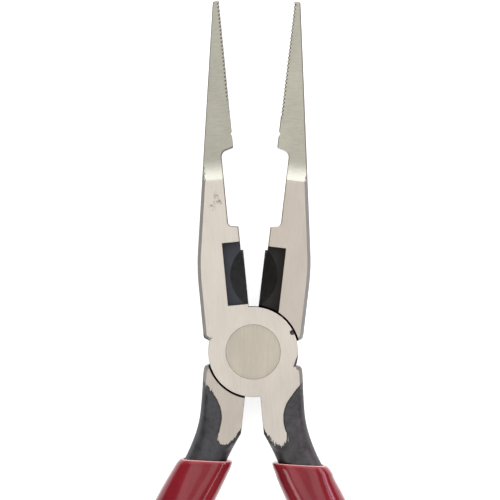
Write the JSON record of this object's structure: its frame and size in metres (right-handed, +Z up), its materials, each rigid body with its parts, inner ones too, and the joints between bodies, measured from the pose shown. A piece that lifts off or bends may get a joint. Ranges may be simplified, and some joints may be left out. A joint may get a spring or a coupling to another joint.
{
  "type": "needle nose pliers",
  "caption": "Needle nose pliers with a lap joint, toothed tapering jaws, pipe grip hollow, side cutter and dipped vinyl grips.",
  "frame": {"origin": "on the pivot axis, on the joint's lower ground face, which lies on the table", "axes": "+Z up along the pivot axis, +Y towards the nose tips and midway between the two jaws as stored, +X to the right seen from above"},
  "size_m": [0.0688, 0.2048, 0.011],
  "materials": {
    "forged_steel": "ground bright faces, black oxide on the handles and in the cutter relief",
    "rivet_steel": "ground flush with the joint faces",
    "red_vinyl": "glossy dipped vinyl"
  },
  "bodies": {
    "right_jaw_half": {"right_jaw_forging": "forged_steel", "left_handle_grip": "red_vinyl"},
    "left_jaw_half": {"left_jaw_forging": "forged_steel", "pivot_rivet": "rivet_steel", "right_handle_grip": "red_vinyl"}
  },
  "joints": [
    {"name": "jaw_hinge", "type": "hinge", "parent": "right_jaw_half", "child": "left_jaw_half", "pos_m": [0, 0, 0], "axis": [0, 0, 1], "range_deg": [-12.2, 28]}
  ]
}
